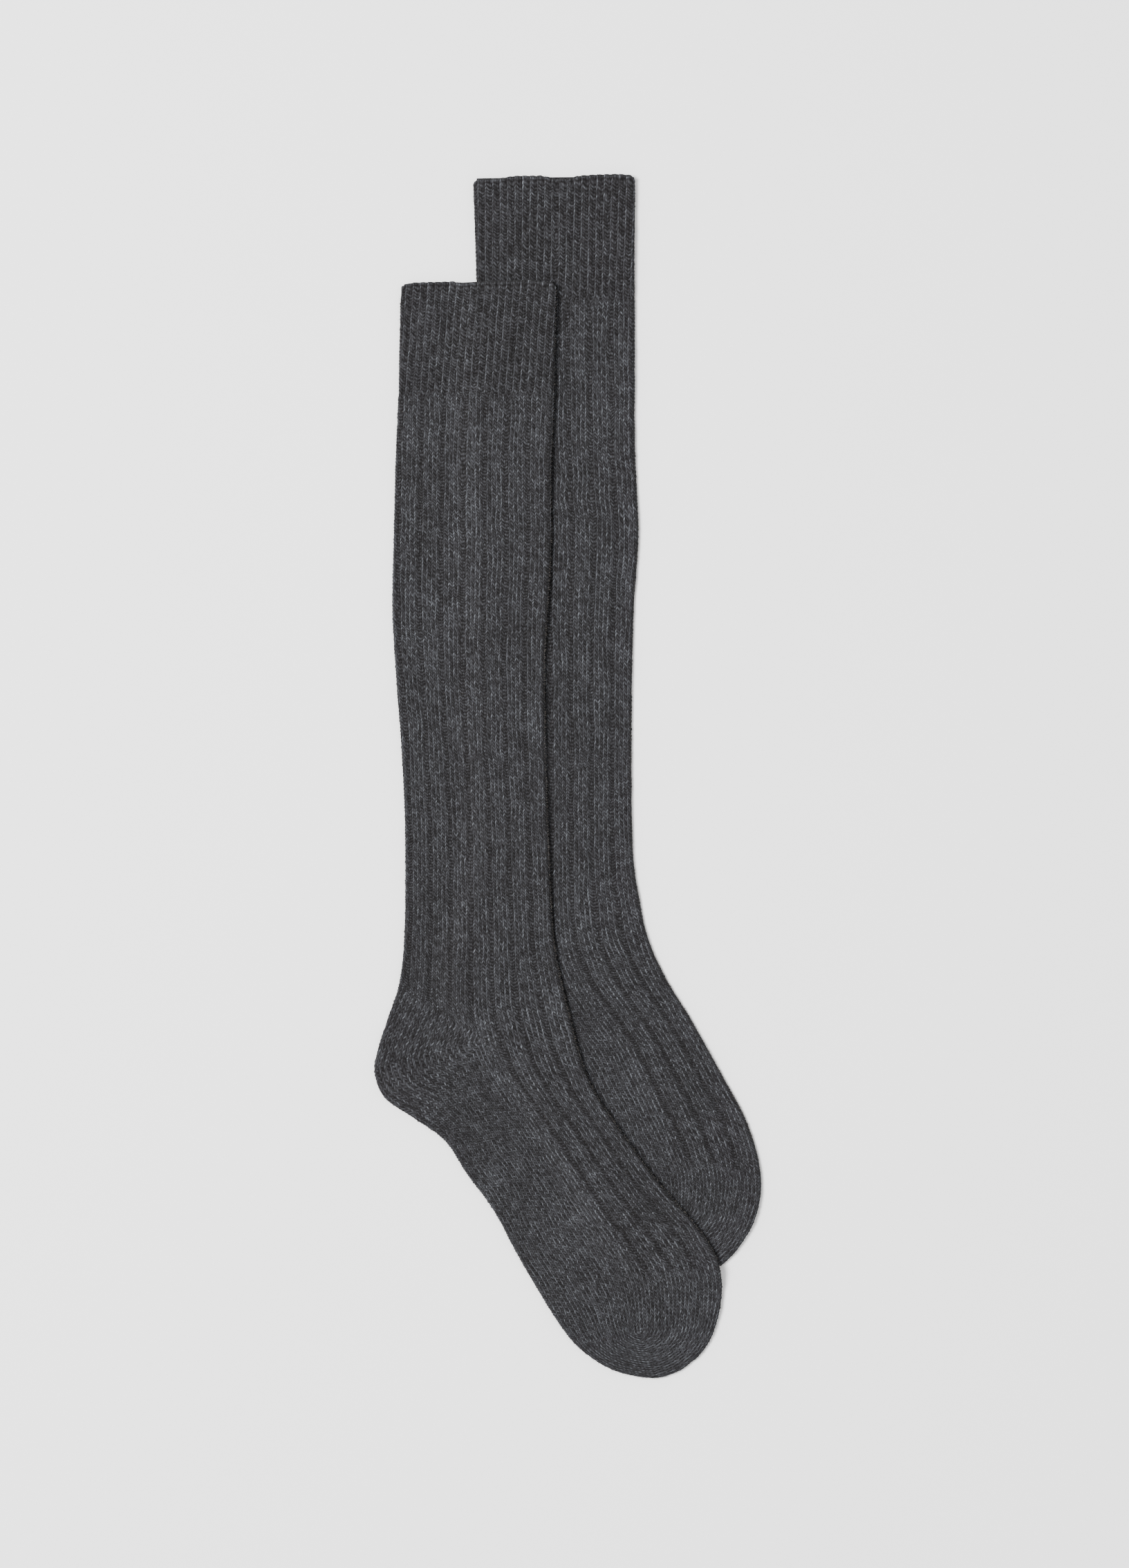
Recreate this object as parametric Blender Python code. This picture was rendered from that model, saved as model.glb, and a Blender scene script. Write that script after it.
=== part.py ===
"""A pair of knee-high wool socks laid flat, the front sock lying partly over the back sock.

A sock is a knitted tube, flattened into two layers that are joined by a round fold down its back and
another down its front. It is open at the cuff, bent at the heel and closed at the toe. The cuff is 1x1
rib, the leg is wide rib, the instep carries the front half of the leg's ribs, and the heel, sole and toe
are plain.

Frame: +Z up, +Y towards the cuffs, +X towards the toes. The socks lie on z = 0, and the origin is the
centre of the pair's footprint. The sizes are in millimetres, the objects in metres.
"""

import math
from collections import namedtuple

import bmesh
import bpy
import numpy as np

MM = 0.001

# Cloth
WALL = 1.7  # one layer of the knit, without its ribs
HOLLOW = 0.7  # space between the two layers
MOUTH_HOLLOW = 1.7  # the same at the cuff's edge, where the sock gapes a little
CUFF_RIB_RISE = 0.4  # how far a rib of the cuff stands above the groove beside it
LEG_RIB_RISE = 0.5
CHARCOAL = (0.066, 0.065, 0.071, 1.0)
ROUGHNESS = 0.95

# Knit: wales are the columns of stitches, counted on one face from the back fold to the front fold
FACE_WALES = 45
SIDE_WALE = 22.5  # half way between the folds: the sole ends and the instep begins here
RIB_WALES = 6  # a rib of the leg: four knit wales and two purl ones
PURL_PLACES = (2, 3)  # which wales of each six are purl
PURL_WIDTH = 0.5  # a sunk purl wale, as a share of the mean wale
KNIT_WIDTH = (RIB_WALES - len(PURL_PLACES) * PURL_WIDTH) / (RIB_WALES - len(PURL_PLACES))
UPPER_WALES = np.arange(FACE_WALES + 1)
UNDERSIDE_WALES = np.array([44, 43, *range(40, 3, -3), 2, 1])  # the wales drawn in the plain underside
INNER_STEP = 3  # the inner surface has one point for every third wale

# How the front sock lies over the back sock
RISE = 5.0  # height of its underside where it lies on the back sock
DRAPE_OUT = 15.0  # it leaves the surface this far outside the back sock's edge
DRAPE_IN = 2.0  # and is at its full height this far inside it

TIP_BULGE = 0.5  # how far the toe's edge stands beyond the last section
EDGE_STEPS = 6  # straight pieces in the outline from one ring to the next
SEARCH_STEP = 0.1  # how finely the hollow's ends are placed

# Each row is one section across both socks, from the cuffs to the toes.
#   rings: how many rings are made from this section up to the next
#   cuff, back, front: how much of the ribs shows on the cuff, on the leg's back half and on its front half
#   side: how far across the section the side wale lies, as a share of the section's width
#   the last two columns: for the front and the back sock, where the section meets the back (or sole) fold
#   and where it meets the front (or instep) fold
Section = namedtuple("Section", "place rings cuff back front side front_sock back_sock")
SECTIONS = (
    Section("cuff edge", 1, 1, 0, 0, 0.50, (-84.4, 248.9, -5.8, 249.9), (-47.8, 302.3, 34.0, 303.4)),
    Section("cuff end", 1, 1, 0, 0, 0.50, (-85.7, 193.0, -7.0, 193.0), (-45.9, 241.3, 34.0, 241.3)),
    Section("leg start", 1, 0, 1, 1, 0.50, (-85.8, 190.6, -7.0, 190.6), (-45.9, 238.9, 34.0, 238.9)),
    Section("calf top", 1, 0, 1, 1, 0.50, (-87.2, 155.0, -8.4, 155.0), (-45.9, 204.1, 34.0, 204.1)),
    Section("calf", 1, 0, 1, 1, 0.50, (-88.2, 117.0, -8.4, 117.0), (-45.9, 165.6, 34.2, 165.6)),
    Section("calf low", 1, 0, 1, 1, 0.50, (-88.6, 82.0, -10.2, 82.0), (-45.2, 121.8, 36.0, 121.8)),
    Section("shin", 1, 0, 1, 1, 0.50, (-86.8, 50.0, -11.6, 50.0), (-44.5, 92.0, 34.0, 92.0)),
    Section("shin low", 1, 0, 1, 1, 0.50, (-84.4, 18.6, -11.2, 18.6), (-43.4, 57.1, 32.9, 57.1)),
    Section("ankle top", 2, 0, 1, 1, 0.50, (-82.4, -24.0, -9.9, -24.0), (-41.8, 14.0, 32.5, 14.0)),
    Section("ankle", 2, 0, 1, 1, 0.50, (-82.6, -79.5, -7.7, -74.2), (-42.0, -37.0, 32.9, -32.2)),
    Section("heel start", 2, 0, 1, 1, 0.51, (-85.1, -103.3, -5.6, -91.7), (-45.2, -62.0, 34.2, -48.7)),
    Section("heel upper", 2, 0, 0, 1, 0.54, (-91.0, -121.5, -3.2, -102.9), (-49.7, -77.7, 36.2, -60.9)),
    Section("heel back", 2, 0, 0, 1, 0.58, (-96.6, -139.0, -0.4, -114.5), (-54.8, -94.2, 39.0, -75.3)),
    Section("heel tip", 2, 0, 0, 1, 0.61, (-98.0, -150.2, 2.5, -126.0), (-56.7, -105.5, 42.2, -85.4)),
    Section("heel under", 2, 0, 0, 1, 0.60, (-92.8, -162.8, 5.6, -138.3), (-52.0, -117.5, 47.4, -97.3)),
    Section("heel base", 2, 0, 0, 1, 0.58, (-78.4, -172.9, 9.1, -149.1), (-39.6, -127.1, 53.2, -107.8)),
    Section("arch", 2, 0, 0, 1, 0.56, (-62.3, -184.5, 13.3, -158.6), (-26.3, -138.3, 59.2, -117.3)),
    Section("arch low", 2, 0, 0, 1, 0.55, (-51.5, -200.9, 19.6, -168.7), (-17.5, -153.7, 65.0, -127.1)),
    Section("foot", 2, 0, 0, 1, 0.54, (-37.8, -219.5, 29.1, -182.0), (-8.1, -171.2, 72.4, -140.4)),
    Section("ball", 2, 0, 0, 1, 0.54, (-26.6, -240.5, 41.0, -198.5), (0.4, -190.8, 80.9, -155.8)),
    Section("ball low", 2, 0, 0, 1, 0.53, (-14.4, -261.5, 54.3, -214.2), (8.4, -209.7, 89.2, -171.2)),
    Section("toe start", 2, 0, 0, 1, 0.52, (-5.6, -275.5, 67.2, -229.6), (14.4, -222.3, 94.9, -186.6)),
    Section("toe", 2, 0, 0, 0, 0.51, (3.2, -287.0, 74.9, -242.2), (22.1, -233.5, 97.7, -199.2)),
    Section("toe mid", 1, 0, 0, 0, 0.50, (13.0, -295.1, 77.9, -253.6), (30.5, -241.2, 98.0, -209.7)),
    Section("toe low", 1, 0, 0, 0, 0.50, (22.4, -300.3, 77.9, -265.0), (39.6, -246.8, 96.6, -218.4)),
    Section("toe lower", 1, 0, 0, 0, 0.50, (31.9, -303.1, 75.6, -276.2), (48.7, -250.3, 94.2, -225.8)),
    Section("toe end", 1, 0, 0, 0, 0.50, (41.0, -304.5, 71.8, -286.0), (57.4, -252.0, 90.3, -233.1)),
    Section("toe last", 1, 0, 0, 0, 0.50, (48.4, -304.0, 66.5, -293.3), (65.5, -252.0, 84.9, -240.8)),
    Section("toe tip", 1, 0, 0, 0, 0.50, (54.2, -301.9, 61.3, -297.6), (71.8, -250.4, 78.9, -246.8)),
)
PLACES = [section.place for section in SECTIONS]
INNER_END = "toe lower"  # the hollow's last section

Ring = namedtuple("Ring", "back front width fold hollow cuff back_rib front_rib side")


def curve_through(points):
    """A smooth curve through the points, as a function of their index."""
    last = len(points) - 1
    gaps = np.linalg.norm(np.diff(points, axis=0), axis=1)
    run = np.concatenate([[0], np.cumsum(gaps)])
    after, before = np.minimum(np.arange(1, last + 2), last), np.maximum(np.arange(-1, last), 0)
    slopes = (points[after] - points[before]) / (run[after] - run[before])[:, None]

    def at(place):
        i = np.minimum(np.asarray(place).astype(int), last - 1)
        t = (place - i)[..., None]
        gap = gaps[i][..., None]
        return (
            (2 * t**3 - 3 * t**2 + 1) * points[i]
            + (t**3 - 2 * t**2 + t) * gap * slopes[i]
            + (3 * t**2 - 2 * t**3) * points[i + 1]
            + (t**3 - t**2) * gap * slopes[i + 1]
        )

    return at


def section_steps(finer=1):
    """The rings' places, counted in sections: 1.5 is half way from the second section to the third."""
    counts = [section.rings * finer for section in SECTIONS[:-1]]
    steps = [i + np.arange(count) / count for i, count in enumerate(counts)]
    return np.concatenate([*steps, [len(counts)]])


def distance_to(points, path):
    """The shortest distance from each point to a path of straight pieces."""
    along = np.diff(path, axis=0)
    offset = points[:, None] - path[:-1]
    share = np.clip((offset * along).sum(2) / (along**2).sum(1), 0, 1)
    return np.linalg.norm(offset - share[..., None] * along, axis=2).min(1)


def is_inside(points, loop):
    """Whether each point is inside a closed path, by the pieces that a line from it towards -X crosses."""
    start, along = loop[:-1], np.diff(loop, axis=0)
    offset = points[:, None] - start
    spans = (offset[..., 1] >= 0) != (offset[..., 1] >= along[:, 1])
    right_of = (along[:, 0] * offset[..., 1] < along[:, 1] * offset[..., 0]) == (along[:, 1] > 0)
    return (spans & right_of).sum(1) % 2 == 1


class Plan:
    """A sock seen from above."""

    def __init__(self, column):
        rows = np.array([getattr(section, column) for section in SECTIONS])
        self.back, self.front = curve_through(rows[:, :2]), curve_through(rows[:, 2:])
        steps = section_steps(EDGE_STEPS)
        backs, fronts = self.back(steps), self.front(steps)
        end = (fronts[-1] - backs[-1]) / np.linalg.norm(fronts[-1] - backs[-1])
        tip = (backs[-1] + fronts[-1]) / 2 + TIP_BULGE * np.array([end[1], -end[0]])
        self.edge = np.vstack([backs, tip, fronts[::-1]])  # the fold all round, but not across the mouth

    def rings(self):
        table = np.array([[s.cuff, s.back, s.front, s.side] for s in SECTIONS])
        for place in section_steps():
            back, front = self.back(place), self.front(place)
            hollow = np.interp(place, (0, 1), (MOUTH_HOLLOW, HOLLOW))
            values = [np.interp(place, range(len(SECTIONS)), column) for column in table.T]
            yield Ring(back, front, np.linalg.norm(front - back), WALL + hollow / 2, hollow, *values)

    def outside(self, points):
        """Signed distance to the sock's outline, its mouth included: below 0 inside it."""
        loop = np.vstack([self.edge, self.edge[:1]])
        away = distance_to(points, loop)
        return np.where(is_inside(points, loop), -away, away)


def is_purl(wales):
    return np.isin(wales % RIB_WALES, PURL_PLACES)


def ribbed_shares(wales):
    """How far round the face each wale is when the knit wales are wide and the purl ones are sunk."""
    widths = np.where(is_purl(UPPER_WALES), PURL_WIDTH, KNIT_WIDTH)
    ends = np.concatenate([[0], np.cumsum(widths)])
    first, last, places = (
        np.interp(wale, np.arange(len(ends)) - 0.5, ends) for wale in (0, FACE_WALES, wales)
    )
    return (places - first) / (last - first)


def wale_depths(ring, wales):
    """How far each wale lies from the back fold, seen from above, where the cloth rounds the folds."""
    plain = wales / FACE_WALES
    ribbed = np.where(wales < SIDE_WALE, ring.back_rib, ring.front_rib)
    even = plain + (ribbed_shares(wales) - plain) * ribbed
    quarter = math.pi / 2 * ring.fold
    length = ring.width + 2 * (quarter - ring.fold)
    from_back = np.interp(even, (0, 0.5, 1), (0, ring.side, 1)) * length
    from_front = length - from_back
    depths = from_back - quarter + ring.fold
    depths = np.where(from_back < quarter, ring.fold * (1 - np.cos(from_back / ring.fold)), depths)
    front_depths = ring.width - ring.fold * (1 - np.cos(from_front / ring.fold))
    return np.where(from_front < quarter, front_depths, depths)


def rib_rises(ring, wales):
    """How far the ribs raise the upper face at each wale."""
    leg = np.where(wales < SIDE_WALE, ring.back_rib, ring.front_rib)
    return ring.cuff * CUFF_RIB_RISE * (wales % 2 == 0) + leg * LEG_RIB_RISE * ~is_purl(wales)


def across(ring, depths):
    return ring.back + (ring.front - ring.back) * (depths / ring.width)[:, None]


def outer_ring(plan, ring, lift):
    """The sock's outer surface at one section: over the upper face, then back along the underside."""
    faces = []
    for wales, side in ((UPPER_WALES, 1), (UNDERSIDE_WALES, -1)):
        points = across(ring, wale_depths(ring, wales))
        inside = np.clip(distance_to(points, plan.edge) / ring.fold, 0, 1)
        level = np.sqrt(1 - (1 - inside) ** 2)
        height = lift(points) + ring.fold * (1 + side * level)
        if side > 0:
            height = height + level * rib_rises(ring, wales)
        faces.append(np.column_stack([points, height]))
    return np.vstack(faces)


def inner_ring(plan, ring, lift):
    """The hollow at one section, a thin slot that keeps the wall's thickness clear of every edge."""
    depths = np.arange(WALL, ring.width - WALL, SEARCH_STEP)
    clear = depths[distance_to(across(ring, depths), plan.edge) >= WALL]
    depths = np.linspace(clear[0], clear[-1], FACE_WALES // INNER_STEP + 1)
    points = across(ring, depths)
    level = lift(points) + ring.fold
    half = np.full(len(depths), ring.hollow / 2)
    half[[0, -1]] = 0
    upper = np.column_stack([points, level + half])
    under = np.column_stack([points, level - half])
    return np.vstack([upper, under[-2:0:-1]])


def add_tube(mesh, rings, upper_count):
    """Joins the rings with triangles whose diagonals match between the upper face and the underside."""
    loops = [[mesh.verts.new(point * MM) for point in ring] for ring in rings]
    for near, far in zip(loops, loops[1:]):
        for i in range(len(near)):
            n = (i + 1) % len(near)
            if i < upper_count - 1:
                mesh.faces.new((near[i], far[i], far[n]))
                mesh.faces.new((near[i], far[n], near[n]))
            else:
                mesh.faces.new((near[i], far[i], near[n]))
                mesh.faces.new((near[n], far[i], far[n]))
    mesh.faces.new(loops[-1])
    return loops


def add_rim(mesh, outer, inner):
    """The cuff's edge, from the outer surface to the hollow. Both loops start at the back fold."""
    upper = len(UPPER_WALES)
    inner_upper = np.arange(0, FACE_WALES + 1, INNER_STEP)
    starts = list(inner_upper)
    for wale in inner_upper[-2:0:-1]:
        starts.append(upper + int(np.abs(UNDERSIDE_WALES - wale).argmin()))
    for i, start in enumerate(starts):
        n = (i + 1) % len(starts)
        stop = starts[n] if n else len(outer)
        stretch = [outer[place % len(outer)] for place in range(start, stop + 1)]
        mesh.faces.new([*stretch, inner[n], inner[i]])


def knit_material(name):
    material = bpy.data.materials.new(name)
    material.use_nodes = True
    shader = material.node_tree.nodes["Principled BSDF"]
    shader.inputs["Base Color"].default_value = CHARCOAL
    shader.inputs["Roughness"].default_value = ROUGHNESS
    shader.inputs["Metallic"].default_value = 0.0
    return material


def make_sock(name, plan, lift, collection, centre):
    mesh = bmesh.new()
    rings = list(plan.rings())
    outer = add_tube(mesh, [outer_ring(plan, ring, lift) for ring in rings], len(UPPER_WALES))
    hollow = sum(section.rings for section in SECTIONS[: PLACES.index(INNER_END)]) + 1
    inner_rings = [inner_ring(plan, ring, lift) for ring in rings[:hollow]]
    inner = add_tube(mesh, inner_rings, FACE_WALES // INNER_STEP + 1)
    add_rim(mesh, outer[0], inner[0])
    bmesh.ops.translate(mesh, verts=mesh.verts, vec=(-centre[0] * MM, -centre[1] * MM, 0))
    bmesh.ops.recalc_face_normals(mesh, faces=mesh.faces)
    data = bpy.data.meshes.new(name)
    mesh.to_mesh(data)
    mesh.free()
    data.shade_smooth()
    sock = bpy.data.objects.new(name, data)
    data.materials.append(knit_material(f"{name}_knit"))
    collection.objects.link(sock)
    return sock


def main():
    for old in list(bpy.data.objects):
        bpy.data.objects.remove(old)
    collection = bpy.data.collections.new("pair_of_long_socks")
    bpy.context.scene.collection.children.link(collection)

    front, back = Plan("front_sock"), Plan("back_sock")
    edges = np.vstack([front.edge, back.edge])
    centre = (edges.min(0) + edges.max(0)) / 2

    def over_back_sock(points):
        share = np.clip((DRAPE_OUT - back.outside(points)) / (DRAPE_OUT + DRAPE_IN), 0, 1)
        return RISE * share**2 * (3 - 2 * share)

    make_sock("sock_back", back, lambda points: np.zeros(len(points)), collection, centre)
    make_sock("sock_front", front, over_back_sock, collection, centre)


main()
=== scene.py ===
"""Looks of a pair of knee-high wool socks laid flat, the front sock lying partly over the back sock.

Each sock is a knitted tube of 90 wales (columns of stitches), drawn stitch by stitch. A ring place counts
wales round the tube: 0 is the back fold, 45 the front fold, 0 to 45 the upper face and 45 to 90 the
underside. A course is a row of stitches, counted from the cuff's edge. The heel is a short-row pocket: the
back half's wales run from the leg to a mitre line and from there to the sole. The toe is another, where
the sole's wales turn round the toe and meet the instep's.

Sizes are in millimetres, meshes in metres.
"""

import math
from collections import namedtuple

import bpy
import numpy as np
from mathutils import Matrix, Vector

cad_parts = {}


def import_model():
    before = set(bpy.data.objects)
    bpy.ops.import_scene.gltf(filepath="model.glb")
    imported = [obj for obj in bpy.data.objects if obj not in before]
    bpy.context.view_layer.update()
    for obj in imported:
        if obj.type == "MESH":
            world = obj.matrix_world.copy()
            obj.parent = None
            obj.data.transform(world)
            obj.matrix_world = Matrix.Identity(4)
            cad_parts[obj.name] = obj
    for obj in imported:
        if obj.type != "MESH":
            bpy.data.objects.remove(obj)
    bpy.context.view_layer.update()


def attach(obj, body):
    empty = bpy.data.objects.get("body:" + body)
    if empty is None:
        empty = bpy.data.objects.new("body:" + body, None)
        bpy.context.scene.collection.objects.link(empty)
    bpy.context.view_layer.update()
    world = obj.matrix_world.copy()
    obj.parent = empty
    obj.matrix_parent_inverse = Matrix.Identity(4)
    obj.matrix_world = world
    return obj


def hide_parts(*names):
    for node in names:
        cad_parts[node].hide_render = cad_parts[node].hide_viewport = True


MM = 0.001

# ---- the socks' plan
# Where each section meets the back (or sole) fold and the front (or instep) fold, for both socks
Section = namedtuple("Section", "place front_sock back_sock")
SECTION_ROWS = (
    ("cuff edge", (-84.4, 248.9, -5.8, 249.9), (-47.8, 302.3, 34.0, 303.4)),
    ("cuff end", (-85.7, 193.0, -7.0, 193.0), (-45.9, 241.3, 34.0, 241.3)),
    ("leg start", (-85.8, 190.6, -7.0, 190.6), (-45.9, 238.9, 34.0, 238.9)),
    ("calf top", (-87.2, 155.0, -8.4, 155.0), (-45.9, 204.1, 34.0, 204.1)),
    ("calf", (-88.2, 117.0, -8.4, 117.0), (-45.9, 165.6, 34.2, 165.6)),
    ("calf low", (-88.6, 82.0, -10.2, 82.0), (-45.2, 121.8, 36.0, 121.8)),
    ("shin", (-86.8, 50.0, -11.6, 50.0), (-44.5, 92.0, 34.0, 92.0)),
    ("shin low", (-84.4, 18.6, -11.2, 18.6), (-43.4, 57.1, 32.9, 57.1)),
    ("ankle top", (-82.4, -24.0, -9.9, -24.0), (-41.8, 14.0, 32.5, 14.0)),
    ("ankle", (-82.6, -79.5, -7.7, -74.2), (-42.0, -37.0, 32.9, -32.2)),
    ("heel start", (-85.1, -103.3, -5.6, -91.7), (-45.2, -62.0, 34.2, -48.7)),
    ("heel upper", (-91.0, -121.5, -3.2, -102.9), (-49.7, -77.7, 36.2, -60.9)),
    ("heel back", (-96.6, -139.0, -0.4, -114.5), (-54.8, -94.2, 39.0, -75.3)),
    ("heel tip", (-98.0, -150.2, 2.5, -126.0), (-56.7, -105.5, 42.2, -85.4)),
    ("heel under", (-92.8, -162.8, 5.6, -138.3), (-52.0, -117.5, 47.4, -97.3)),
    ("heel base", (-78.4, -172.9, 9.1, -149.1), (-39.6, -127.1, 53.2, -107.8)),
    ("arch", (-62.3, -184.5, 13.3, -158.6), (-26.3, -138.3, 59.2, -117.3)),
    ("arch low", (-51.5, -200.9, 19.6, -168.7), (-17.5, -153.7, 65.0, -127.1)),
    ("foot", (-37.8, -219.5, 29.1, -182.0), (-8.1, -171.2, 72.4, -140.4)),
    ("ball", (-26.6, -240.5, 41.0, -198.5), (0.4, -190.8, 80.9, -155.8)),
    ("ball low", (-14.4, -261.5, 54.3, -214.2), (8.4, -209.7, 89.2, -171.2)),
    ("toe start", (-5.6, -275.5, 67.2, -229.6), (14.4, -222.3, 94.9, -186.6)),
    ("toe", (3.2, -287.0, 74.9, -242.2), (22.1, -233.5, 97.7, -199.2)),
    ("toe mid", (13.0, -295.1, 77.9, -253.6), (30.5, -241.2, 98.0, -209.7)),
    ("toe low", (22.4, -300.3, 77.9, -265.0), (39.6, -246.8, 96.6, -218.4)),
    ("toe lower", (31.9, -303.1, 75.6, -276.2), (48.7, -250.3, 94.2, -225.8)),
    ("toe end", (41.0, -304.5, 71.8, -286.0), (57.4, -252.0, 90.3, -233.1)),
    ("toe last", (48.4, -304.0, 66.5, -293.3), (65.5, -252.0, 84.9, -240.8)),
    ("toe tip", (54.2, -301.9, 61.3, -297.6), (71.8, -250.4, 78.9, -246.8)),
)
SECTIONS = [Section(*row) for row in SECTION_ROWS]
LAST = len(SECTIONS) - 1
TIP_BULGE = 0.5  # how far the toe's edge stands beyond the last section
EDGE_STEPS = 16  # straight pieces in the outline from one section to the next
# Places on the folds are counted in sections, from 0 at the cuff's edge
CUFF_END, ANKLE = 1, 8
HEEL_BACK, SOLE_START, INSTEP_START = 10.2, 15.3, 12.75  # where the heel row meets the folds
HEEL_TIP = 12.8  # where the heel's mitre meets the back fold
SOLE_END, INSTEP_END = 22.4, 25.0  # where the toe pocket starts
LEG_SIDES = (0, 1, 3, 4, 5, 6, 7, 8, 9)  # sections of the leg that the side wale crosses half way
FOOT_SIDES = ((17, 0.55), (18, 0.54), (19, 0.54), (20, 0.54))  # sections of the foot, and the share there

# What differs between the socks. heel and toe: the points that their pockets turn round. ball: a point of
# the side wale just before the toe. twist: how far the cuff's edge and end are turned round the tube, in
# wales. seed: of its irregularities
Sock = namedtuple("Sock", "name heel ball toe twist seed")
SOCKS = (
    Sock("back", (-1.6, -91.2), (57.0, -202.0), (57.0, -217.5), (0.4, -0.6), 7),
    Sock("front", (-42.4, -133.0), (33.6, -255.2), (36.4, -280.7), (0.8, -0.9), 3),
)

# ---- the knit
RING = 90  # wales round the tube
FACE = 45  # wales across one face, so the front fold's ring place
SIDE = 22.5  # the side wale's ring place
CUFF_COURSES, ANKLE_COURSE, HEEL_COURSE, RIB_END, TOE_COURSE = 34, 162, 224, 305, 324
TWIST_END = 110  # the course by which the leg is no longer turned
RIB_WALES, GROOVE = 6, 2.5  # the leg's rib: a groove of two purl wales at 2.5, 8.5, ...
PURL_PLACES = (2, 3)  # which wales of each six are purl
LEG_KNIT, LEG_PURL = 1.25, 0.5  # widths of a knit and a purl wale of the leg, in mean wales
CUFF_KNIT, CUFF_PURL = 1.4, 0.6
RIB_FADE = 6  # courses in which the leg's ribs fade out above the heel
HEEL_TURN = 2.5  # how far the heel pocket's wales are turned over the back fold at its mitre, in wales
TURN_ABOVE, TURN_BELOW = 0.1, 0.25  # shares of it at the heel row, above and below the pocket
ABOVE_COURSES, BELOW_COURSES = 12, 25  # the courses of leg and of sole that are turned with the heel
ROW_BEND, BEND_COURSES = 0.12, 30  # how softly a row bends at the side wale, this far from a pocket

# ---- the cloth
WALL, HOLLOW, MOUTH_HOLLOW = 1.7, 0.7, 1.7  # one layer, and the slot between the two layers
RISE, DRAPE_OUT, DRAPE_IN = 5.0, 15.0, 2.0  # how the front sock climbs on to the back one
CLEAR = 0.02  # the least height of anything above the floor
LEG_RIB, CUFF_RIB = 0.3, 0.35  # height of the ribs
STITCH = 0.42  # height of a stitch's legs above the gaps between them
PURL_BAR = 0.75  # heights of a purl stitch's bar and of a mitre, in stitch heights
MITRE = 0.4
STITCH_VARIES, STITCH_MOST = 0.22, 1.8  # how uneven the stitches' heights are, and the greatest
SLANT = 1.9  # how many courses a stitch's leg runs down for each wale that it runs out
LEAN, CUFF_LEAN = 0.1, 0.08  # how far a stitch's point lies to one side, in wales, and the cuff's more
LEG_STRAY = 0.07  # how far one leg strays along its wale, in courses
EDGE_DROP, CORNER_DROP = 0.4, 1.6  # how far the cuff's edge is drawn in, in courses, and more at its corners
EDGE_COURSES = 10  # the courses that are drawn in with it
INSET = 0.55  # how far the gaps between the stitches' legs lie inside the outline's surface
UNDER_INSET = LEG_RIB + 1.3 * STITCH  # the same on the underside, which rests on its highest stitches
FINE_UNDER = 6  # wales of the underside, next to each fold, that are drawn as finely as the upper face
INSIDE_STEP = 8  # rows, of half a course, from one drawn row of the inner faces to the next
RIM_ANGLES = np.linspace(0, math.pi, 7)  # round the cuff's edge, from its outside to its inside
RIM_BULGE = 1.15  # the edge's height along the wales, as a share of its half thickness

# How high a stitch stands at the middle, a quarter and the edge of its wale
OFF_MIDDLE = (0, 0.25, 0.5)
LEG_HEIGHTS, GAP_HEIGHTS = (0.6, 1.0, 0.15), (0.1, 0.3, 0.0)
COARSE_HEIGHTS = (0.95, 0.55, 0.15)  # of the legs, where there are two columns a wale

# Smooth irregularities. cells: of the noise's grid, round the ring and along the sock. wales, courses: the
# size of a cell. height: in wales, courses, courses, mm and tones
Uneven = namedtuple("Uneven", "cells wales courses height")
WANDER = Uneven((30, 60), 3, 6, 0.16)  # of the wales, sideways
SWAY = Uneven((18, 40), 5, 10, 0.55)  # of the courses, along the wales
EDGE_WAVE = Uneven((15, 2), 6, 1, 1.0)  # of the cuff's edge, in shares of EDGE_DROP
PUFF = Uneven((6, 30), 15, 14, 0.35)  # of the upper face
BLOTCHES = Uneven((30, 90), 3, 4, 0.45)  # of the colour
BROAD_BLOTCHES = Uneven((9, 24), 10, 16, 0.3)

FUZZ_COUNT, FUZZ_LENGTH, FUZZ_RADIUS = 7000, (0.5, 1.7), 0.035
FUZZ_SPREAD, FUZZ_BEND = 0.55, 0.5  # how far the fibres stray from straight out, and how much they bend
FUZZ_ON_TOP = 0.02  # share of the fibres' density on the upper face

# The cloth's cut, in metres: across all round for a tube, and along the wales
FLAT = {"cuff": (0.160, 0.065), "leg": (0.088, 0.336), "foot": (0.115, 0.215), "inside": (0.110, 0.610)}
INSIDE_SHARE = 0.7  # of its flat size that the cut of an inner face fills

# ---- the colours
HEEL_SHADE, RIM_SHADE = 0.45, 0.5  # how much darker the heel, where the stitches are stretched, and the cuff's edge are painted, through the shade value
GROOVE_SHADES = 1.1, 0.6  # painted shade: how dark the ribs' grooves are painted on the foot, and elsewhere
# The inner faces: even in tone, drawn as purl, as the inside of knitting is, and painted darker, as shade
# inside the tube
INSIDE_VALUES = {"tone": 0, "shade": 0.6, "purl": 1}
# The wool's colours from darkest to lightest, linear: the marl's fibres, with painted shade and painted
# highlight
WOOL = (
    (0.0, (0.0045, 0.0038, 0.0038)),
    (0.25, (0.0110, 0.0103, 0.0109)),
    (0.5, (0.0230, 0.0227, 0.0248)),
    (0.75, (0.0448, 0.0463, 0.0515)),
    (1.0, (0.1045, 0.1125, 0.1235)),
)
WOOL_SURFACE = {
    "Specular IOR Level": 0.1,
    "Sheen Weight": 0.04,
    "Sheen Roughness": 0.6,
    "Sheen Tint": (0.8, 0.82, 0.86, 1),
}
FUZZ_COLOURS = ((0.35, (0.040, 0.036, 0.034)), (0.65, (0.17, 0.15, 0.132)))
LEG_BEND = 0.11, 0.25  # how far a leg's outline strays in the colour, in wales and in courses
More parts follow.
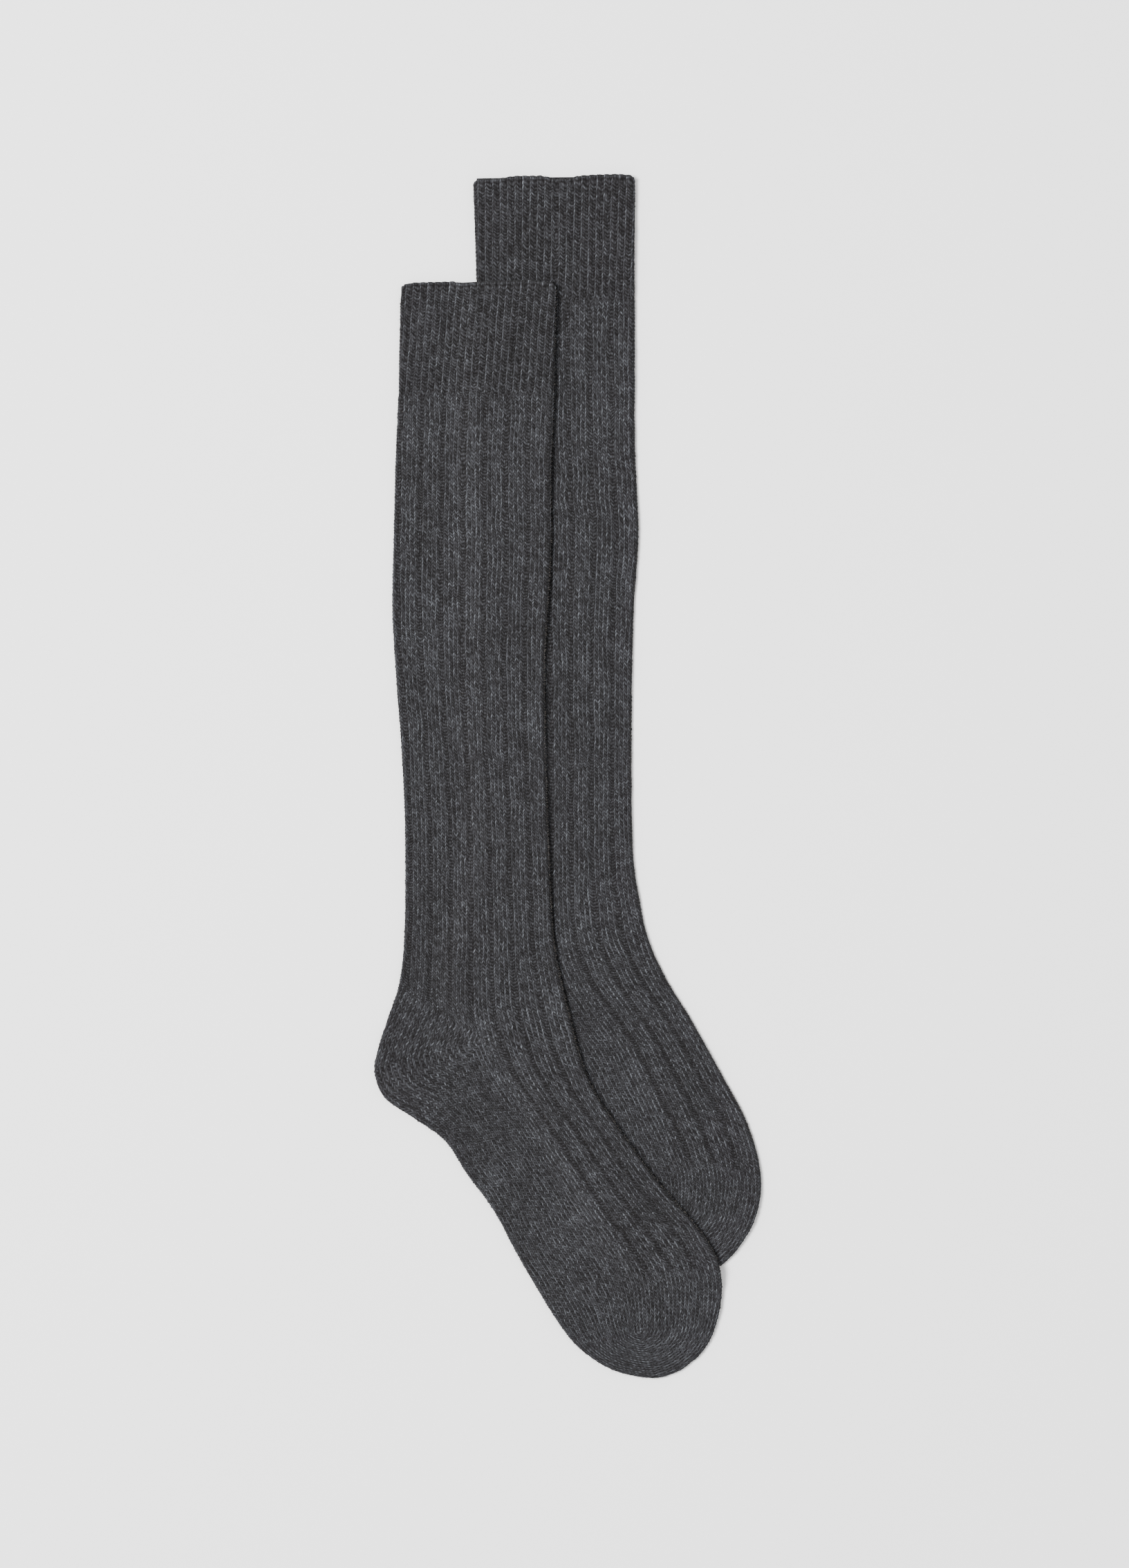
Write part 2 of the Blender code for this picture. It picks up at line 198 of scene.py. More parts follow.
# A point's place among the wool's colours is MEAN_TONE and the sum of (value - middle) * weight
MEAN_TONE = 0.4575
Part = namedtuple("Part", "value middle weight")
TONE_PARTS = (
    Part("tone", 0.0, 0.05),  # blotches
    Part("yarn", 0.5, 0.36),  # from leg to leg
    Part("leg", 0.5, 0.4),  # painted shade and highlight: a leg lighter at its middle, darker at its edges and in the gaps between legs
    Part("left", 0.0, 0.19),  # painted highlight: left legs lighter, as the window's light falls on them, less so where the shade value is low
    Part("fibres", 0.5, 0.6),
    Part("flecks", 0.5, 1.0),
    # painted shade: darker in the ribs' grooves, and darker on the heel and at the cuff's edge
    Part("shade", 1.0, 0.12),
    # painted shade: purl wales, sunk in the ribs' grooves, and the inner faces darker
    Part("purl", 0.0, -0.13),
)


def smooth_step(share):
    share = np.clip(share, 0, 1)
    return share * share * (3 - 2 * share)


def curve_through(points):
    """A smooth curve through the points, as a function of their index."""
    last = len(points) - 1
    gaps = np.linalg.norm(np.diff(points, axis=0), axis=1)
    run = np.concatenate([[0], np.cumsum(gaps)])
    after, before = np.minimum(np.arange(1, last + 2), last), np.maximum(np.arange(-1, last), 0)
    slopes = (points[after] - points[before]) / (run[after] - run[before])[:, None]

    def at(place):
        place = np.asarray(place, float)
        i = np.minimum(place.astype(int), last - 1)
        t = (place - i)[..., None]
        gap = gaps[i][..., None]
        return (
            (2 * t**3 - 3 * t**2 + 1) * points[i]
            + (t**3 - 2 * t**2 + t) * gap * slopes[i]
            + (3 * t**2 - 2 * t**3) * points[i + 1]
            + (t**3 - t**2) * gap * slopes[i + 1]
        )

    return at


def run_along(path):
    return np.concatenate([[0], np.cumsum(np.linalg.norm(np.diff(path, axis=0), axis=1))])


def point_at(path, run, distance):
    return np.stack([np.interp(distance, run, path[:, n]) for n in range(2)], axis=-1)


class Plan:
    """A sock seen from above: its fold all round, and where each row of stitches crosses it."""

    def __init__(self, column, sock):
        rows = np.array([getattr(section, column) for section in SECTIONS])
        back, front = curve_through(rows[:, :2]), curve_through(rows[:, 2:])
        steps = np.arange(LAST * EDGE_STEPS + 1) / EDGE_STEPS
        backs, fronts = back(steps), front(steps)
        end = (fronts[-1] - backs[-1]) / np.linalg.norm(fronts[-1] - backs[-1])
        tip = (backs[-1] + fronts[-1]) / 2 + TIP_BULGE * np.array([end[1], -end[0]])
        self.edge = np.vstack([backs, tip, fronts[::-1]])
        self.run = run_along(self.edge)
        self.heel, self.toe = np.array(sock.heel), np.array(sock.toe)

        def back_run(*places):
            return np.interp(places, steps, self.run[: len(steps)])

        def front_run(*places):
            return np.interp(places, steps, self.run[::-1][: len(steps)])

        marks = (0, CUFF_COURSES, ANKLE_COURSE, HEEL_COURSE)
        self.leg_back = marks, back_run(0, CUFF_END, ANKLE, HEEL_BACK)
        self.foot_back = (HEEL_COURSE, TOE_COURSE), back_run(SOLE_START, SOLE_END)
        self.whole_front = (*marks, TOE_COURSE), front_run(0, CUFF_END, ANKLE, INSTEP_START, INSTEP_END)
        self.heel_runs = back_run(HEEL_BACK, HEEL_TIP, SOLE_START)
        self.toe_runs = *back_run(SOLE_END), *front_run(INSTEP_END)

        middles = [(back(i) + front(i)) / 2 for i in LEG_SIDES]
        on_foot = [back(i) + (front(i) - back(i)) * share for i, share in FOOT_SIDES]
        side = curve_through(np.array([*middles, self.heel, *on_foot, sock.ball, self.toe]))
        count = len(middles) + len(on_foot) + 2
        self.side = side(np.arange(count * EDGE_STEPS + 1) / EDGE_STEPS)
        self.side_run = run_along(self.side)
        knots = (0, LEG_SIDES.index(CUFF_END), LEG_SIDES.index(ANKLE), len(middles), count)
        self.side_marks = (*marks, TOE_COURSE), [self.side_run[k * EDGE_STEPS] for k in knots]

    def fold(self, distance):
        return point_at(self.edge, self.run, distance)

    def outside(self, points):
        """Signed distance to the outline, mouth included: below 0 inside it."""
        loop = np.vstack([self.edge[::4], self.edge[-1:], self.edge[:1]])
        nearest, inside = np.full(len(points), np.inf), np.zeros(len(points), bool)
        for start, end in zip(loop[:-1], loop[1:]):
            offset, piece = points - start, end - start
            share = np.clip(offset @ piece / (piece @ piece), 0, 1)
            nearest = np.minimum(nearest, ((offset - share[:, None] * piece) ** 2).sum(1))
            if piece[1]:
                spans = (points[:, 1] >= start[1]) != (points[:, 1] >= end[1])
                inside ^= spans & (offset[:, 0] < offset[:, 1] * piece[0] / piece[1])
        return np.where(inside, -1, 1) * np.sqrt(nearest)

    def rows(self, course, foot):
        """Where each vertex's course meets the back fold, the front fold and the side wale."""
        backs = np.where(foot, np.interp(course, *self.foot_back), np.interp(course, *self.leg_back))
        back, front = self.fold(backs), self.fold(np.interp(course, *self.whole_front))
        side = point_at(self.side, self.side_run, np.interp(course, *self.side_marks))
        return back, front, side


def purl_wales(wales):
    return np.isin(wales % RIB_WALES, PURL_PLACES)


def cuff_purl_wales(wales):
    return wales % 2 == 1


def ring_widths(knit, purl, is_purl):
    """The wales' edges, and their ring places when knit and purl wales have these widths."""
    wales = np.arange(RING + 1)
    ends = np.concatenate([[0], np.cumsum(np.where(is_purl(wales), purl, knit))]) - 0.5
    return np.arange(RING + 2) - 0.5, ends


LEG_WIDTHS = ring_widths(LEG_KNIT, LEG_PURL, purl_wales)
CUFF_WIDTHS = ring_widths(CUFF_KNIT, CUFF_PURL, cuff_purl_wales)


def from_back_fold(ring):
    """How many wales a ring place is from the back fold, on either face."""
    return np.minimum(ring, RING - ring)


def cuff_share(course):
    return 1 - smooth_step((course - CUFF_COURSES + 1) / 2)


def rib_share(ring, course, foot):
    """How much of the leg's ribs shows."""
    start = 1 - cuff_share(course)
    back_end = 1 - smooth_step((course - HEEL_COURSE + RIB_FADE) / RIB_FADE)
    front_end = 1 - smooth_step((course - RIB_END) / 4)
    return start * np.where(from_back_fold(ring) < SIDE, np.where(foot, 0, back_end), front_end)


def purl_share(ring, course, foot):
    """1 in a purl wale of the leg's or the cuff's rib, and 0 in a knit one."""
    wale = np.floor(ring + 0.5)
    return rib_share(ring, course, foot) * purl_wales(wale) + cuff_share(course) * cuff_purl_wales(wale)


def heel_turn(ring, course, foot, share):
    """How far the wales are turned over the back fold in and near the heel. share: 1 is the mitre."""
    above = TURN_ABOVE * smooth_step((course - HEEL_COURSE + ABOVE_COURSES) / ABOVE_COURSES)
    below = TURN_BELOW * (1 - smooth_step((course - HEEL_COURSE) / BELOW_COURSES))
    ends = np.where(foot, below, above)
    in_pocket = np.where(foot, course < HEEL_COURSE, course > HEEL_COURSE)
    turned = np.where(in_pocket, ends + (1 - ends) * np.abs(share), ends)
    return HEEL_TURN * np.clip(1 - from_back_fold(ring) / SIDE, 0, 1) * turned


def place_vertices(plan, sock, ring, course, foot, lift):
    """Positions on the smooth cloth, and the same laid out flat, for ring places and courses.

    A course above HEEL_COURSE on the back half of the leg is in the heel pocket's upper part, and one below
    it on the back half of the foot is in its lower part. One above TOE_COURSE is in the toe pocket.
    """
    depth = np.maximum(np.abs(SIDE - from_back_fold(ring)), 1e-6)
    knit_in_back = from_back_fold(ring) < SIDE
    heel_share = np.clip((course - HEEL_COURSE) / depth, -1, 1)
    ribbed = rib_share(ring, course, foot) * (np.interp(ring, *LEG_WIDTHS) - ring)
    cuffed = cuff_share(course) * (np.interp(ring, *CUFF_WIDTHS) - ring)
    turned = np.interp(course, (0, CUFF_COURSES, TWIST_END), (*sock.twist, 0))
    turned = turned - heel_turn(ring, course, foot, heel_share)
    round_ring = (ring + (ribbed + cuffed) * smooth_step(depth / 1.5) + turned) % RING
    upper = round_ring <= FACE
    wale = np.where(upper, round_ring, RING - round_ring)
    back_half = wale < SIDE

    # own: the vertex's place on the fold of its half of the face. side: where its row meets the side wale
    back, front, side = plan.rows(course, foot | (course > HEEL_COURSE))
    own = np.where(back_half[:, None], back, front)

    in_heel = knit_in_back & np.where(foot, course < HEEL_COURSE, course > HEEL_COURSE)
    heel_run = np.interp(heel_share, (0, 1), plan.heel_runs[:2])
    heel_run = np.where(heel_share >= 0, heel_run, np.interp(-heel_share, (0, 1), plan.heel_runs[:0:-1]))
    own = np.where(in_heel[:, None], plan.fold(heel_run), own)
    side = np.where(in_heel[:, None], plan.heel, side)

    in_toe = course > TOE_COURSE
    start, stop = plan.toe_runs
    middle = (start + stop) / 2
    share = np.clip((course - TOE_COURSE) / depth, 0, 1)
    toe_run = np.where(knit_in_back, start + (middle - start) * share, stop + (middle - stop) * share)
    own = np.where(in_toe[:, None], plan.fold(toe_run), own)
    side = np.where(in_toe[:, None], plan.toe, side)

    # The cloth runs round a half circle at its fold, and straight from there to the side wale
    hollow = np.interp(course, (0, CUFF_COURSES), (MOUTH_HOLLOW, HOLLOW))
    fold = WALL + hollow / 2
    extra = (math.pi / 2 - 1) * fold
    half = np.linalg.norm(side - own, axis=1)
    along = np.where(back_half, wale, FACE - wale) / SIDE * (half + extra)
    angle = np.minimum(along / fold, math.pi / 2)
    into = np.where(angle < math.pi / 2, fold * (1 - np.cos(angle)), along - extra) / half
    into = np.clip(into, 0, None)

    # A row of the leg or foot bends at the side wale, and a pocket's rows run straight to its turning point
    across = np.where(back_half, into / 2, 1 - into / 2)
    from_pockets = np.minimum(np.abs(course - HEEL_COURSE), TOE_COURSE - course)
    bend = ROW_BEND * smooth_step(from_pockets / BEND_COURSES)
    rounding = np.sqrt((across - 0.5) ** 2 + bend**2)
    even = (rounding - bend) / (np.sqrt(0.25 + bend**2) - bend)
    rows = side + (across - 0.5)[:, None] * (front - back) + even[:, None] * ((front + back) / 2 - side)
    straight = own + into[:, None] * (side - own)
    plan_place = np.where((in_heel | in_toe)[:, None], straight, rows)

    sign = np.where(upper, 1, -1)
    height = lift(plan_place) + fold * (1 + sign * np.sin(angle))
    outward = (along - extra) / half
    flat = own + outward[:, None] * (side - own)
    return np.column_stack([plan_place, height]), flat


# ---- the mesh of a knitted tube
def ring_columns():
    """Ring places of the columns: four a wale, but two on the underside away from the folds."""
    coarse, fine_again = FACE + FINE_UNDER, RING - FINE_UNDER
    steps = (0, coarse, 0.25), (coarse, fine_again, 0.5), (fine_again, RING, 0.25)
    return np.concatenate([np.arange(*step) for step in steps])


# How far a pocket's first row may slant into it, as a share of its depth, and the least room between its
# last row and its mitre, in rows
START_SLANT, MITRE_ROOM = 0.45, 0.15


class Tube:
    """Vertices and triangles of one knitted tube, column by column.

    A row is half a course: even rows follow the stitches' legs, and odd ones the gaps between them.
    """

    def __init__(self, columns, step=1, slant=SLANT):
        self.columns, self.step, self.slant = columns, step, slant
        self.added, self.kept, self.count = [], [], 0
        self.chains = [self.add_column(ring) for ring in columns]
        self.share_toe()
        for i in range(len(columns)):
            self.join(i, (i + 1) % len(columns))
        self.ring, self.course, self.foot, self.row, self.seam = map(np.concatenate, zip(*self.added))
        self.triangles, self.on_foot, self.strip_ring = map(np.concatenate, zip(*self.kept))
        self.corner_ring, self.corner_row = self.corner_places()

    def add(self, ring, course, foot, row, seam=False):
        """Adds vertices of one column, and gives their numbers."""
        course = np.atleast_1d(np.asarray(course, float))
        ring, foot, row, seam = (np.full(len(course), value) for value in (float(ring), foot, row, seam))
        self.added.append((ring, course, foot, row.astype(int), seam))
        self.count += len(course)
        return np.arange(self.count - len(course), self.count)

    def slants(self, ring, rows, hinge, foot):
        """How far a row is displaced along the wale here, less near the point that a pocket turns round.

        In a purl wale the row runs straight across, as the bars of its stitches do.
        """
        off = abs(ring - round(ring))
        off = off + (0.5 - off) * purl_share(ring, rows / 2, foot)
        from_side = abs(from_back_fold(ring) - SIDE)
        near = np.maximum(smooth_step(from_side / 3), smooth_step(np.abs(rows - hinge) / 6))
        return self.slant * off * near

    def add_pocket(self, ring, hinge, way, depth, foot):
        """A pocket's rows from its start to its mitre. way: 1 or -1, as its courses are counted."""
        numbers = way * np.arange(self.step, 2 * depth + 4, self.step)
        rows = hinge + numbers
        courses = rows / 2 + self.slants(ring, rows, hinge, foot)
        fits = way * (courses - hinge / 2) < depth - MITRE_ROOM * self.step
        return self.add(ring, courses[fits], foot, rows[fits])

    def add_column(self, ring):
        """One column's vertices, as chains that the triangles are drawn between."""
        short = SIDE - from_back_fold(ring)
        depth, heel, toe, step = abs(short), 2 * HEEL_COURSE, 2 * TOE_COURSE, self.step
        rows = np.arange(0, heel + 1, step)
        course = rows / 2 + self.slants(ring, rows, heel, False) * smooth_step(rows / 3)
        if short <= 0:
            course[-1] = HEEL_COURSE if short == 0 else max(course[-1], HEEL_COURSE)
            leg = self.add(ring, course, False, rows)
            sole = upper = lower = leg[-1:]
        else:
            course[-1] = HEEL_COURSE + min(course[-1] - HEEL_COURSE, START_SLANT * short)
            leg = self.add(ring, course, False, rows)
            upper = self.add_pocket(ring, heel, 1, short, False)
            mitre = self.add(ring, HEEL_COURSE + short, False, heel + round(2 * short), True)
            lower = self.add_pocket(ring, heel, -1, short, True)
            sole = self.add(ring, HEEL_COURSE + self.slants(ring, np.array([heel]), heel, True), True, heel)
            upper, lower = np.concatenate([leg[-1:], upper, mitre]), np.concatenate([sole, lower, mitre])
        rows = np.arange(heel + step, toe + 1, step)
        hinge = np.where(rows < (heel + toe) / 2, heel, toe)
        course = rows / 2 + self.slants(ring, rows, hinge, True)
        course[-1] = TOE_COURSE + min(course[-1] - TOE_COURSE, START_SLANT * depth)
        foot = np.concatenate([sole, self.add(ring, course, True, rows)])
        tip = np.concatenate([foot[-1:], self.add_pocket(ring, toe, 1, depth, True)])
        return {"leg": leg, "up": upper, "low": lower, "foot": foot, "toe": tip, "depth": depth}

    def share_toe(self):
        """The wales that meet at the toe's mitre share its vertices."""
        places = {}
        for ring, chain in zip(self.columns, self.chains):
            depth = chain["depth"]
            if not depth:
                continue
            key = (ring > FACE and depth < SIDE, depth)
            if key not in places:
                places[key] = self.add(ring, TOE_COURSE + depth, True, round(2 * (TOE_COURSE + depth)), True)
            chain["toe"] = np.concatenate([chain["toe"], places[key]])

    def corner_places(self):
        """Ring place and row of each triangle's corners, as counted in its own strip.

        A vertex on a mitre belongs to two wales, and one at place 0 also to the strip that ends there.
        """
        ring, row = self.ring[self.triangles], self.row[self.triangles]
        seam = self.seam[self.triangles]
        counts = np.stack([ring, ring + RING, FACE - ring, RING + FACE - ring])
        best = np.abs(counts - self.strip_ring[:, None]).argmin(axis=0)
        ring = np.take_along_axis(counts, best[None], axis=0)[0]
        free_rows = np.where(seam, 0, row).sum(axis=1) / np.maximum((~seam).sum(axis=1), 1)
        mirrored = 4 * HEEL_COURSE - row
        closer = np.abs(mirrored - free_rows[:, None]) < np.abs(row - free_rows[:, None])
        return ring, np.where(seam & closer, mirrored, row)

    def join(self, i, n):
        a, b = self.chains[i], self.chains[n]
        self.keep(strip(a["leg"], b["leg"]), i, False)
        self.keep(strip(a["foot"], b["foot"]), i, True)
        self.keep(fan(a["up"], b["up"]), i, True)
        self.keep(fan(a["low"], b["low"])[:, ::-1], i, True)
        self.keep(fan(a["toe"], b["toe"]), i, True)

    def keep(self, triangles, i, on_foot):
        """Keeps the triangles that have three different corners."""
        a, b, c = triangles.T
        good = (a != b) & (b != c) & (a != c)
        count = good.sum()
        self.kept.append((triangles[good], np.full(count, on_foot), np.full(count, self.columns[i])))


def strip(a, b):
    """Triangles between two chains of the same length."""
    return np.vstack([np.column_stack([a[:-1], a[1:], b[1:]]), np.column_stack([a[:-1], b[1:], b[:-1]])])


def fan(a, b):
    """Triangles between two chains that end at a mitre, where the shorter one waits at its last vertex."""
    length = max(len(a), len(b))
    return strip(*(np.append(chain, np.full(length - len(chain), chain[-1])) for chain in (a, b)))


def face_normals(points, triangles):
    """The triangles' normals, as long as twice their areas."""
    a, b, c = (points[triangles[:, n]] for n in range(3))
    return np.cross(b - a, c - a)


def vertex_normals(points, triangles):
    face = face_normals(points, triangles)
    normals = np.zeros_like(points)
    for n in range(3):
        for axis in range(3):
            normals[:, axis] += np.bincount(triangles[:, n], face[:, axis], len(points))
    return normals / np.maximum(np.linalg.norm(normals, axis=1), 1e-12)[:, None]


# ---- the stitches
def uneven_field(rng, kind):
    """A smooth irregularity of mean 0, periodic round the ring, at ring places and courses."""
    grid = rng.normal(size=kind.cells)

    def at(ring, course):
        x = ring / kind.wales % kind.cells[0]
        y = np.clip(course / kind.courses, 0, kind.cells[1] - 1.001)
        i, n = x.astype(int), y.astype(int)
        s, t = smooth_step(x - i), smooth_step(y - n)
        j = (i + 1) % kind.cells[0]
        near = grid[i, n] * (1 - s) + grid[j, n] * s
        far = grid[i, n + 1] * (1 - s) + grid[j, n + 1] * s
        return kind.height * (near * (1 - t) + far * t)

    return at


def per_leg(table, ring, row):
    """Looks up a value for each stitch's leg, averaged where a vertex belongs to several legs."""
    wale = np.floor(ring + 0.5).astype(int)
    off = ring - wale
    lower, upper = row // 2, (row + 1) // 2

    def mean_rows(wales, side):
        wales = wales % RING
        return (table[wales, side, lower] + table[wales, side, upper]) / 2

    left, right = mean_rows(wale, 0), mean_rows(wale, 1)
    before = mean_rows(wale - 1, 1)
    return np.select(
        [off == -0.5, off < 0, off == 0], [(left + before) / 2, left, (left + right) / 2], default=right
    )


def stitch_height(ring, row):
    """The height of the stitches' legs, from 0 to 1."""
    off = np.abs(ring - np.floor(ring + 0.5))
    fine = (ring < FACE + FINE_UNDER) | (ring > RING - FINE_UNDER)
    fine_leg, coarse_leg, gap = (
        np.interp(off, OFF_MIDDLE, heights) for heights in (LEG_HEIGHTS, COARSE_HEIGHTS, GAP_HEIGHTS)
    )
    return np.where(row % 2 == 0, np.where(fine, fine_leg, coarse_leg), gap)


def leg_rib_height(ring):
    from_groove = np.abs((ring - GROOVE + RIB_WALES / 2) % RIB_WALES - RIB_WALES / 2)
    return smooth_step((from_groove - 0.4) / 1.3)


def cuff_rib_height(ring):
    from_knit = np.abs((ring + 1) % 2 - 1)
    return 1 - smooth_step((from_knit - 0.15) / 0.7)


class Knit:
    """One sock's cloth: the smooth cloth, and its knitted outer surface with the colours' values."""

    def __init__(self, plan, sock, lift):
        rng = np.random.default_rng(sock.seed)
        self.plan, self.sock, self.lift = plan, sock, lift
        self.tube = tube = Tube(ring_columns())
        ring, course = self.strayed(rng)
        self.base, self.flat = place_vertices(plan, sock, ring % RING, course, tube.foot, lift)
        self.base_normals = vertex_normals(self.base, tube.triangles)
        self.in_leg = rib_share(tube.ring, tube.course, tube.foot)
        self.in_cuff = cuff_share(tube.course)
        self.purl = purl_share(tube.ring, tube.course, tube.foot)
        self.points = self.base + self.relief(rng)[:, None] * self.base_normals
        self.points[:, 2] = np.maximum(self.points[:, 2], CLEAR)
        self.normals = vertex_normals(self.points, tube.triangles)
        self.values = {"tone": self.tone(rng), "shade": self.shade(), "purl": self.purl}

    def strayed(self, rng):
        """The vertices' ring places and courses, with the knit's irregularities."""
        tube, fold = self.tube, from_back_fold(self.tube.ring)
        ring, course, in_cuff = tube.ring, tube.course, cuff_share(tube.course)
        wander, sway, edge_wave = (uneven_field(rng, kind) for kind in (WANDER, SWAY, EDGE_WAVE))
        legs = rng.normal(size=(RING, 2, 2 * TOE_COURSE))

        # free: 0 in the pockets and at the side wale beside them. loose: also 0 at the cuff's edge
        free = np.maximum(smooth_step(np.abs(fold - SIDE) / 3), smooth_step((HEEL_COURSE - 6 - course) / 6))
        in_heel = (fold < SIDE) & np.where(tube.foot, course < HEEL_COURSE + 2, course > HEEL_COURSE)
        free = np.where(in_heel | (course > TOE_COURSE), 0, free)
        loose = free * smooth_step(course / 6)
        off = ring - np.floor(ring + 0.5)
        ring_now = ring + (1 - 0.6 * in_cuff) * free * wander(ring, course)
        ring_now -= free * (LEAN + CUFF_LEAN * in_cuff) * (1 - 4 * off**2)

        from_corner = np.abs((ring + SIDE + self.sock.twist[0]) % FACE - SIDE)
        waves = np.clip(edge_wave(ring, 0 * ring) + 1, 0, 2.5)
        drawn_in = EDGE_DROP * waves + CORNER_DROP * np.exp(-from_corner)
        course_now = course + loose * (sway(ring, course) + LEG_STRAY * per_leg(legs, ring, tube.row))
        return ring_now, course_now + drawn_in * smooth_step(1 - course / EDGE_COURSES)

    def relief(self, rng):
        """How far the surface lies outside the smooth cloth."""
        tube = self.tube
        varied = per_leg(rng.normal(size=(RING, 2, 2 * TOE_COURSE)), tube.ring, tube.row)
        stitches = stitch_height(tube.ring, tube.row) * (1 + STITCH_VARIES * varied)
        bars = np.where(tube.row % 2 == 0, PURL_BAR, 0.0)
        stitches += (bars - stitches) * self.purl
        stitches = np.where(tube.seam, MITRE, np.clip(stitches, 0, STITCH_MOST))
        leg_ribs = LEG_RIB * self.in_leg * leg_rib_height(tube.ring)
        cuff_ribs = CUFF_RIB * self.in_cuff * cuff_rib_height(tube.ring)
        upward = self.base_normals[:, 2]
        puff = np.clip(upward, 0, 1) * uneven_field(rng, PUFF)(tube.ring, tube.course)
        sunk = INSET + np.clip(-upward, 0, 1) * (UNDER_INSET - INSET)
        return leg_ribs + cuff_ribs + STITCH * stitches + puff - sunk

    def tone(self, rng):
        fields = [uneven_field(rng, kind) for kind in (BLOTCHES, BROAD_BLOTCHES)]
        return sum(field(self.tube.ring, self.tube.course) for field in fields)

    def shade(self):
        """1 on the ribs, and less in their grooves, as painted shade, and on the heel, which is painted
        darker.
        """
        ring, from_heel = self.tube.ring, np.abs(self.tube.course - HEEL_COURSE)
        leg_groove = self.in_leg * (1 - leg_rib_height(ring))
        cuff_groove = self.in_cuff * (1 - cuff_rib_height(ring))
        back_half = 1 - smooth_step((from_back_fold(ring) - SIDE + 6) / 6)
        heel = back_half * (1 - smooth_step((from_heel - 20) / 12))
        return 1 - np.where(self.tube.foot, *GROOVE_SHADES) * (leg_groove + cuff_groove) - HEEL_SHADE * heel


def scene_object(name, data):
    made = bpy.data.objects.new(name, data)
    bpy.context.scene.collection.objects.link(made)
    return made


def new_mesh(name, points, triangles):
    mesh = bpy.data.meshes.new(name)
    mesh.vertices.add(len(points))
    mesh.vertices.foreach_set("co", np.ascontiguousarray(points * MM, np.float32).ravel())
    mesh.loops.add(triangles.size)
    mesh.loops.foreach_set("vertex_index", np.ascontiguousarray(triangles, np.int32).ravel())
    mesh.polygons.add(len(triangles))
    mesh.polygons.foreach_set("loop_start", np.arange(0, triangles.size, 3, dtype=np.int32))
    mesh.polygons.foreach_set("use_smooth", np.ones(len(triangles), bool))
    mesh.update(calc_edges=True)
    return mesh


def to_tile(values):
    """The values scaled to a map's tile, with a small margin."""
    return 0.01 + 0.98 * (values - values.min()) / np.ptp(values)


def add_uv(mesh, name, across, along):
    layer = mesh.uv_layers.new(name=name)
    layer.data.foreach_set("uv", np.column_stack([across, along]).astype(np.float32).ravel())


def wool_object(name, points, triangles, knit_map, bake_map, values, normals=None):
    """A piece of wool, with a map of wales and courses, one to bake to, and its points' values."""
    used, inverse = np.unique(triangles, return_inverse=True)
    mesh = new_mesh(name, points[used], inverse.reshape(triangles.shape))
    add_uv(mesh, "Knit", *knit_map)
    add_uv(mesh, "OFBake", *(to_tile(way) for way in bake_map))
    for label, value in values.items():
        layer = mesh.attributes.new(label, "FLOAT", "POINT")
        layer.data.foreach_set("value", value[used].astype(np.float32))
    if normals is not None:
        mesh.normals_split_custom_set_from_vertices(normals[used])
    return scene_object(name, mesh)


# ---- materials
def plain_material(name, colour, roughness):
    material = bpy.data.materials.new(name)
    material.use_nodes = True
    surface = material.node_tree.nodes["Principled BSDF"]
    surface.inputs["Base Color"].default_value = (*colour, 1)
    surface.inputs["Roughness"].default_value = roughness
    return material


def math_node(tree, operation, *values):
    made = tree.nodes.new("ShaderNodeMath")
    made.operation = operation
    for socket, value in zip(made.inputs, values):
        if isinstance(value, (int, float)):
            socket.default_value = value
        else:
            tree.links.new(value, socket)
    return made.outputs[0]


def weighted(tree, value, middle, weight):
    """(value - middle) * weight"""
    return math_node(tree, "MULTIPLY", math_node(tree, "SUBTRACT", value, middle), weight)


def attribute(tree, name):
    made = tree.nodes.new("ShaderNodeAttribute")
    made.attribute_name = name
    return made.outputs["Fac"]


def noise(tree, place, scale, detail, label):
    mapping = tree.nodes.new("ShaderNodeMapping")
    mapping.inputs["Scale"].default_value = (*scale, 1)
    made = tree.nodes.new("ShaderNodeTexNoise")
    made.label = label
    made.inputs["Scale"].default_value = 1
    made.inputs["Detail"].default_value = detail
    tree.links.new(place, mapping.inputs["Vector"])
    tree.links.new(mapping.outputs[0], made.inputs["Vector"])
    return made


def colour_ramp(tree, value, colours, label):
    ramp = tree.nodes.new("ShaderNodeValToRGB")
    ramp.label = label
    stops = ramp.color_ramp.elements
    for (place, colour), stop in zip((colours[0], colours[-1]), (stops[0], stops[1])):
        stop.position, stop.color = place, (*colour, 1)
    for place, colour in colours[1:-1]:
        stops.new(place).color = (*colour, 1)
    tree.links.new(value, ramp.inputs["Fac"])
    return ramp.outputs["Color"]


def bulge(tree, place, power):
    """1 in the middle of each whole step of place, falling to 0 at its ends."""
    from_middle = math_node(tree, "ABSOLUTE", weighted(tree, math_node(tree, "FRACT", place), 0.5, 2.0))
    return math_node(tree, "SUBTRACT", 1, math_node(tree, "POWER", from_middle, power))


